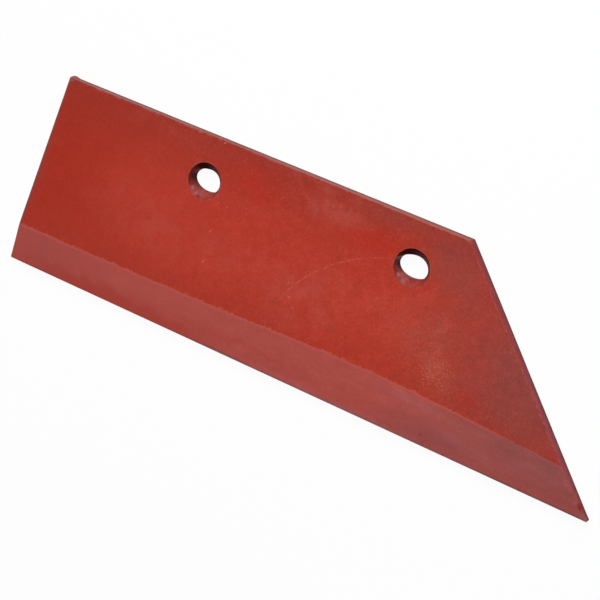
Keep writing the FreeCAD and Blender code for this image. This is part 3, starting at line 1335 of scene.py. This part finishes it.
    def marked(self, shop: PaintShop, colour: Socket) -> Socket:
        """The colour with the coat's marks, kind by kind.

        Args:
            shop: The material's nodes.
            colour: The colour without them.

        Returns:
            The marked colour.
        """
        soft, crisp = shop.ragged_place(*self.soft_rims), shop.ragged_place(*self.crisp_rims)
        for kind in MarkKind:
            marks = [mark for mark in self.marks if mark.kind is kind]
            if not marks:
                continue
            amount = shop.marks(marks, crisp if kind in (MarkKind.BARE, MarkKind.CHIP) else soft)
            if kind is MarkKind.BLOOM:
                clouds = shop.fade(shop.noise(self.painted_light_clouds), *self.painted_light_breaks)
                amount = shop.times(amount, clouds)
            if kind is MarkKind.SPECK:
                dots = shop.fade(shop.noise(self.speck_clouds), *self.speck_breaks)
                amount = shop.times(amount, dots)
            colour = shop.mix(amount, colour, getattr(self, kind.value))
        return colour

    def worn_rim(self, shop: PaintShop, wear: RimWear) -> Socket:
        """How much a rim's wear shows at each place.

        Args:
            shop: The material's nodes.
            wear: The wear.

        Returns:
            The wear's strength.
        """
        away = shop.math("ABSOLUTE", shop.attribute(wear.attribute))
        near = shop.fade(away, wear.width, wear.width * wear.core)
        breaks = (wear.sparse + step for step in wear.break_spread)
        broken = shop.fade(shop.noise(wear.clouds()), *breaks)
        fade = (wear.until, wear.until + wear.fades_over)
        kept = shop.fade(shop.axis("X"), *fade, wear.strength, wear.strength * wear.left_over)
        return shop.times(near, broken, kept)


@dataclass
class Studio:
    """The pale floor, the soft lamp, the even sky and the camera."""

    floor_size: float = 6000.0
    floor_drop: float = 0.05
    floor_colour: Colour = (0.88, 0.88, 0.88)
    shown_white: float = 0.95
    sky: Colour = (1.0, 1.0, 1.0)
    sky_strength: float = 0.2
    lamp_place: Point3 = (0.0, 1600.0, 1480.0)
    lamp_size: float = 1000.0
    lamp_watts: float = 56.0
    camera_place: Point3 = (428.124, 255.111, 1020.571)
    camera_right: Point3 = (0.852056, 0.287926, -0.437148)
    camera_up: Point3 = (-0.373982, 0.919172, -0.12353)
    lens: float = 102.4786
    sensor: float = 36.0
    clips: Point2 = (10.0, 20000.0)

    def build(self) -> None:
        """Makes the floor, the sky, the lamp and the camera."""
        self.build_floor()
        self.build_sky()
        self.build_lamp()
        self.build_camera()

    def build_floor(self) -> None:
        """Makes the floor at the plate's back, white to the camera and still shaded by the plate."""
        half = self.floor_size / 2 * MM
        mesh = bpy.data.meshes.new("studio_floor")
        corners = [(-half, -half, 0.0), (half, -half, 0.0), (half, half, 0.0), (-half, half, 0.0)]
        mesh.from_pydata(corners, [], [(0, 1, 2, 3)])
        floor = bpy.data.objects.new("studio_floor", mesh)
        floor.location.z = -self.floor_drop * MM
        bpy.context.scene.collection.objects.link(floor)
        bench = NodeBench(bpy.data.materials.new("pale_floor"))
        matt = bench.node("ShaderNodeBsdfDiffuse", {"Color": self.floor_colour})
        glow = bench.node("ShaderNodeEmission", {"Strength": 1.0})
        share = bench.times(bench.seen_directly(), self.shown_white)
        bench.show("ShaderNodeOutputMaterial", share, matt, glow)
        mesh.materials.append(bench.owner)
        log.info("%s: %.0f mm wide", floor.name, self.floor_size)

    def build_sky(self) -> None:
        """Lights the object evenly and shows white behind it."""
        bench = NodeBench(bpy.data.worlds.new("studio_sky"))
        light = bench.node("ShaderNodeBackground", {"Color": self.sky, "Strength": self.sky_strength})
        white = bench.node("ShaderNodeBackground", {"Color": (1.0, 1.0, 1.0), "Strength": 1.0})
        bench.show("ShaderNodeOutputWorld", bench.seen_directly(), light, white)
        bpy.context.scene.world = bench.owner

    def build_lamp(self) -> None:
        """Hangs one large soft lamp that looks at the plate."""
        data = bpy.data.lights.new("soft_lamp", "AREA")
        data.shape = "SQUARE"
        data.size = self.lamp_size * MM
        data.energy = self.lamp_watts
        lamp = bpy.data.objects.new("soft_lamp", data)
        place = Vector(self.lamp_place) * MM
        lamp.matrix_world = Matrix.Translation(place) @ place.to_track_quat("Z", "Y").to_matrix().to_4x4()
        bpy.context.scene.collection.objects.link(lamp)

    def build_camera(self) -> None:
        """Sets the camera at the photograph's viewing angle."""
        data = bpy.data.cameras.new("camera")
        data.sensor_width = self.sensor
        data.lens = self.lens
        data.clip_start, data.clip_end = (distance * MM for distance in self.clips)
        camera = bpy.data.objects.new("camera", data)
        right, up = Vector(self.camera_right), Vector(self.camera_up)
        turned = Matrix((right, up, right.cross(up))).transposed().to_4x4()
        camera.matrix_world = Matrix.Translation(Vector(self.camera_place) * MM) @ turned
        bpy.context.scene.collection.objects.link(camera)
        bpy.context.scene.camera = camera


def marks_of(kind: MarkKind, *rows: tuple[float, ...]) -> tuple[Mark, ...]:
    """Several marks of one kind.

    Args:
        kind: What they do to the paint.
        *rows: Each mark's x, y, length, width, turn, strength and raggedness.

    Returns:
        The marks.
    """
    return tuple(Mark(kind, *row) for row in rows)


FRONT_MARKS = (
    *marks_of(
        MarkKind.FRESH,
        (52, 6, 68, 32, 8, 0.72, 0.5),
        (-42, 9, 54, 30, -10, 0.65, 0.5),
        (143, -66, 30, 16, -20, 0.3, 0.5),
        (204, -80.5, 26, 6, -14, 0.3, 0.5),
    ),
    # Painted pools of light and sheen across the middle and along the top edge.
    *marks_of(
        MarkKind.BLOOM,
        (-120, -40, 150, 66, -8, 0.26, 0.5),
        (-45, -44, 120, 50, 0, 0.22, 0.5),
        (15, -46, 110, 68, 12, 0.4, 0.5),
        (80, -36, 90, 54, 0, 0.36, 0.5),
        (16, 19, 86, 34, 0, 0.62, 0.5),
        (-100, 24, 150, 18, 0, 0.2, 0.5),
        (5, 28, 170, 12, 0, 0.3, 0.5),
        (113, -45, 80, 32, -76, 0.6, 0.5),
        (119, -62, 34, 26, 0, 0.6, 0.5),
        (4, -50, 30, 20, 60, 0.5, 0.5),
    ),
    # Duller, dusty patches, partly painted light falloff towards the point end, the top edge and the heel.
    *marks_of(
        MarkKind.DULL,
        (110, 9, 84, 60, -36, 0.6, 0.5),
        (66, 26, 100, 22, 0, 0.45, 0.5),
        (180, -69, 96, 26, -14, 0.5, 0.5),
        (-210, -39, 160, 24, 85, 0.3, 0.5),
    ),
    *marks_of(
        MarkKind.GRIME,
        (104, 22, 40, 18, 8, 0.25, 0.5),
        (104, 24, 12, 3, 35, 0.3, 0.4),
        (90, 18, 9, 2.4, 30, 0.25, 0.4),
        (-203, 31, 16, 7, 0, 0.6, 0.4),
    ),
    *marks_of(MarkKind.BARE, (-209.4, -39, 210, 5.6, 85, 0.8, 0.4)),
    *marks_of(
        MarkKind.CHIP,
        (-65.5, -10.3, 2.6, 1.1, 60, 0.35),
        (-58.2, -10.5, 1.6, 1.2, 0, 0.3),
        (-65.3, -30.6, 4.2, 1.2, 70, 0.4),
        (-64, -52.1, 4.6, 1.3, 65, 0.45),
        (4.5, -51, 3.6, 1.1, 60, 0.4),
        (1, -42, 4, 1.1, 75, 0.3),
        (9, -57, 3.4, 1.2, 50, 0.3),
        (-93, 30.4, 3.2, 1.2, 0, 0.6),
        (-73.1, 29.7, 2.4, 1.2, 0, 0.6),
    ),
    *marks_of(MarkKind.SPECK, (117, -60, 52, 46, -20, 0.32, 0.5), (104, -48, 110, 84, -20, 0.14, 0.5)),
)
POINT_SPOT = Mark(MarkKind.CHIP, 234.0, -101.6, 8.5, 3.8, -47.0, 0.85, 0.4)
BEVEL_MARKS = (
    # Redder paint towards the cutting edge, where the painted sheen is weaker.
    *marks_of(
        MarkKind.FRESH,
        (-125, -107, 200, 24, 0, 0.75, 0.3),
        (-30, -97, 190, 9, 1, 0.4, 0.5),
    ),
    # Painted sheen on the bevel.
    *marks_of(
        MarkKind.BLOOM,
        (70, -108, 260, 12, 0, 0.45, 0.5),
        (118, -83, 100, 14, -2, 0.5, 0.5),
        (150, -97, 120, 18, -2, 0.5, 0.5),
    ),
    *marks_of(
        MarkKind.DULL,
        (125, -101, 110, 30, -3, 0.7, 0.5),
        (101, -104.5, 76, 7, -1, 0.6, 0.5),
        (-190, -92, 12, 30, 0, 0.3, 0.5),
    ),
    *marks_of(MarkKind.GRIME, (118.8, -100.9, 2.6, 1.8, 20, 0.7), (149.1, -93.1, 2, 1.6, 0, 0.7)),
    POINT_SPOT,
)
EDGE_MARKS = (Mark(MarkKind.GRIME, -201.0, 31.0, 22.0, 12.0, 0.0, 0.85, 0.4), POINT_SPOT)
SCRATCHES = (Scratch((93.0, -102.1), 106.3, (-0.6, -51.7), (66.0, 0.2), 0.6, 0.34),)


def seat_marks(x: float, glint: float) -> tuple[Mark, ...]:
    """The marks in one countersink: painted shade above and towards the heel, painted light and highlights
    below, and a painted glint in the slot.

    Args:
        x: Place of the bolt slot along the plate.
        glint: Strength of the painted glint on the steel at the slot's heel end.

    Returns:
        The marks.
    """
    return (
        # Painted light on the lower walls, painted shade on the upper and heel-side walls, a painted glint
        # in the slot, and painted highlights.
        *marks_of(MarkKind.FRESH, (x + 5, -10.5, 18, 9, 20, 0.8, 0.5)),
        *marks_of(MarkKind.BLOOM, (x - 4, -9.8, 22, 11, -28, 1, 0.45)),
        *marks_of(MarkKind.GRIME, (x - 3, 11, 30, 13, 15, 0.9, 0.35), (x - 12, 1.5, 7, 15, 0, 0.5, 0.5)),
        *marks_of(MarkKind.BARE, (x - 11.2, 1.6, 2.2, 5, 0, glint, 0.3)),
        *marks_of(MarkKind.CHIP, (x - 8, -7.6, 4.5, 2.6, -45, 0.45, 0.5)),
        *marks_of(MarkKind.CHIP, (x - 4, -10.4, 3, 2, -10, 0.3, 0.5)),
    )


FINISHES = {
    Region.FRONT: WornPaint(
        "worn_red_paint",
        # Darker and duller towards both ends: partly dusty, duller paint and partly painted light falloff.
        heel=(0.335, 0.017, 0.005),
        middle=(0.432, 0.033, 0.016),
        point=(0.255, 0.044, 0.035),
        bloom=(0.44, 0.08, 0.062),
        dull=(0.27, 0.05, 0.038),
        bare=(0.19, 0.048, 0.04),
        # Painted light falloff: darker towards the top edge and towards the cutting edge.
        bands=(
            Band((0.285, 0.021, 0.011), -25.0, 44.0, 0.95, 12.0),
            Band((0.352, 0.026, 0.013), -45.0, -92.0, 0.85, 10.0),
        ),
        wear=(
            RimWear("from_arris", (0.2, 0.032, 0.026), 1.2, 0.3, 0.4, 8.0),
            RimWear("from_arris", (0.42, 0.12, 0.1), 1.2, 0.4, 0.5, 4.0),
            RimWear("beyond_bevel", (0.46, 0.15, 0.1), 1.6, 0.4, 0.56, 2.4, 130.0),
        ),
        marks=FRONT_MARKS,
        scratches=SCRATCHES,
    ),
    Region.BEVEL: WornPaint(
        "ground_bevel_paint",
        # Pinkish partly from painted sheen, the reflection of the pale surroundings, and darker towards
        # the point as painted light falloff.
        heel=(0.405, 0.066, 0.053),
        middle=(0.447, 0.074, 0.059),
        point=(0.3, 0.076, 0.07),
        bloom=(0.4, 0.12, 0.125),
        dull=(0.27, 0.06, 0.058),
        fresh=(0.385, 0.04, 0.026),
        chip=(0.2, 0.02, 0.018),
        bands=(
            # Redder towards the cutting edge, where the painted sheen is weaker.
            Band((0.4, 0.057, 0.044), -84.0, -107.0, 0.4, 4.0),
            Band((0.14, 0.06, 0.06), -107.0, -108.6, 0.8, 1.5),
            Band((0.26, 0.1, 0.092), 235.0, 240.0, 0.7, 0.0, "X"),
        ),
        wear=(RimWear("beyond_bevel", (0.52, 0.088, 0.068), 2.4, 0.6, 0.32, 12.0, 150.0),),
        grain=0.33,
        mottle=0.4,
        patch=0.14,
        point_fade=(70.0, 225.0),
        streak=(2.4, 1.0, 1.0),
        bump=0.2,
        marks=BEVEL_MARKS,
    ),
    Region.EDGE: WornPaint(
        "edge_paint",
        # The top edge's greyish pink is painted reflection of the pale surroundings; the bands along X
        # give the slanted end a darker red without it.
        heel=(0.28, 0.105, 0.096),
        middle=(0.27, 0.072, 0.06),
        point=(0.28, 0.06, 0.05),
        grime=(0.21, 0.075, 0.052),
        chip=(0.2, 0.016, 0.014),
        bands=(
            Band((0.27, 0.031, 0.031), 109.0, 114.0, 1.0, 0.0, "X"),
            Band((0.275, 0.044, 0.054), 145.0, 185.0, 1.0, 0.0, "X"),
            Band((0.26, 0.1, 0.092), 236.0, 240.0, 0.9, 0.0, "X"),
            Band((0.11, 0.034, 0.032), 7.0, 1.0, 0.9, 0.0, "Z"),
        ),
        gloss=0.03,
        roughness=0.55,
        marks=EDGE_MARKS,
    ),
    Region.SEAT: WornPaint(
        "seat_paint",
        # The countersinks' coat is darker than the front's.
        heel=(0.2, 0.022, 0.018),
        middle=(0.2, 0.022, 0.018),
        point=(0.2, 0.022, 0.018),
        bloom=(0.3, 0.075, 0.068),
        fresh=(0.34, 0.048, 0.032),
        chip=(0.46, 0.19, 0.18),
        grime=(0.045, 0.004, 0.006),
        # Painted shade: darker deeper down the slot's walls.
        bands=(Band((0.07, 0.016, 0.016), 4.6, 3.0, 0.8, 0.0, "Z"),),
        gloss=0.02,
        mottle=1.0,
        painted_light_clouds=Cloud(3.0, 5.0, 51.0),
        marks=seat_marks(-80.0, 0.0) + seat_marks(80.0, 0.5),
    ),
    Region.BACK: WornPaint(
        "back_paint",
        heel=(0.36, 0.018, 0.008),
        middle=(0.38, 0.024, 0.012),
        point=(0.3, 0.03, 0.02),
    ),
}


def dress_plate(plate: SharePlate) -> None:
    """Builds the plate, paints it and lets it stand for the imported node.

    Args:
        plate: The measured plate.
    """
    piece = plate.build()
    for region in Region:
        piece.data.materials.append(FINISHES[region].build())
    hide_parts(SHARE_NODE)
    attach(piece, BODY)
    log.info("%s: %d faces", piece.name, len(piece.data.polygons))


def main() -> None:
    """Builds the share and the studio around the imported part."""
    logging.basicConfig(level=logging.INFO, format="%(name)s: %(message)s")
    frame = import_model()
    dress_plate(SharePlate.from_frame(frame))
    Studio().build()
    bpy.context.scene.view_settings.view_transform = "Standard"


if __name__ == "__main__":
    main()
